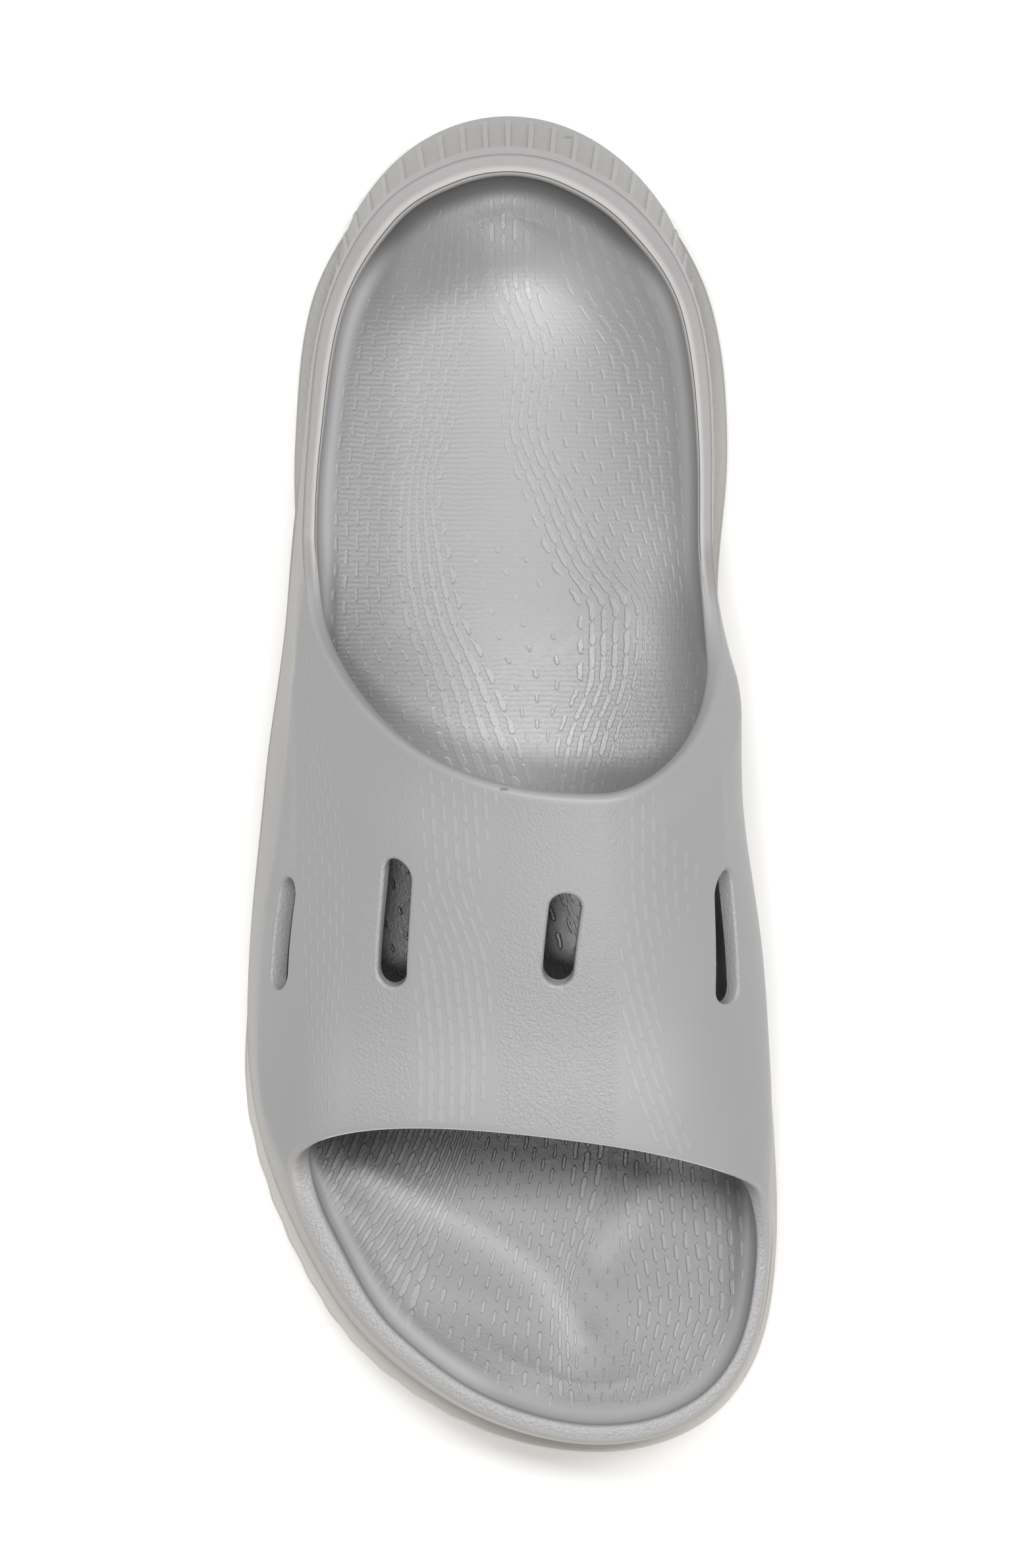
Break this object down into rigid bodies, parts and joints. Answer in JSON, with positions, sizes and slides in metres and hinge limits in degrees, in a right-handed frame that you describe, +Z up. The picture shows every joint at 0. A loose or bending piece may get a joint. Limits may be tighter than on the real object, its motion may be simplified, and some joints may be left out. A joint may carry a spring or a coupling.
{
  "type": "sport slide sandal",
  "caption": "Right-foot slide sandal moulded in foam: cupped footbed with one wide slotted strap, a thick flared midsole with a ribbed heel and a treaded outsole.",
  "frame": {"origin": "bottom centre of the shoe's box, on the floor that the sole stands on", "axes": "+Z up, +Y from toe to heel, +X to the inner (big toe) side of this right shoe"},
  "size_m": [0.1188, 0.2976, 0.093],
  "materials": {
    "upper_foam": "satin moulded foam",
    "midsole_foam": "satin moulded foam",
    "outsole_foam": "matt moulded foam"
  },
  "bodies": {
    "root": {"upper": "upper_foam", "midsole": "midsole_foam", "outsole": "outsole_foam"}
  },
  "joints": []
}
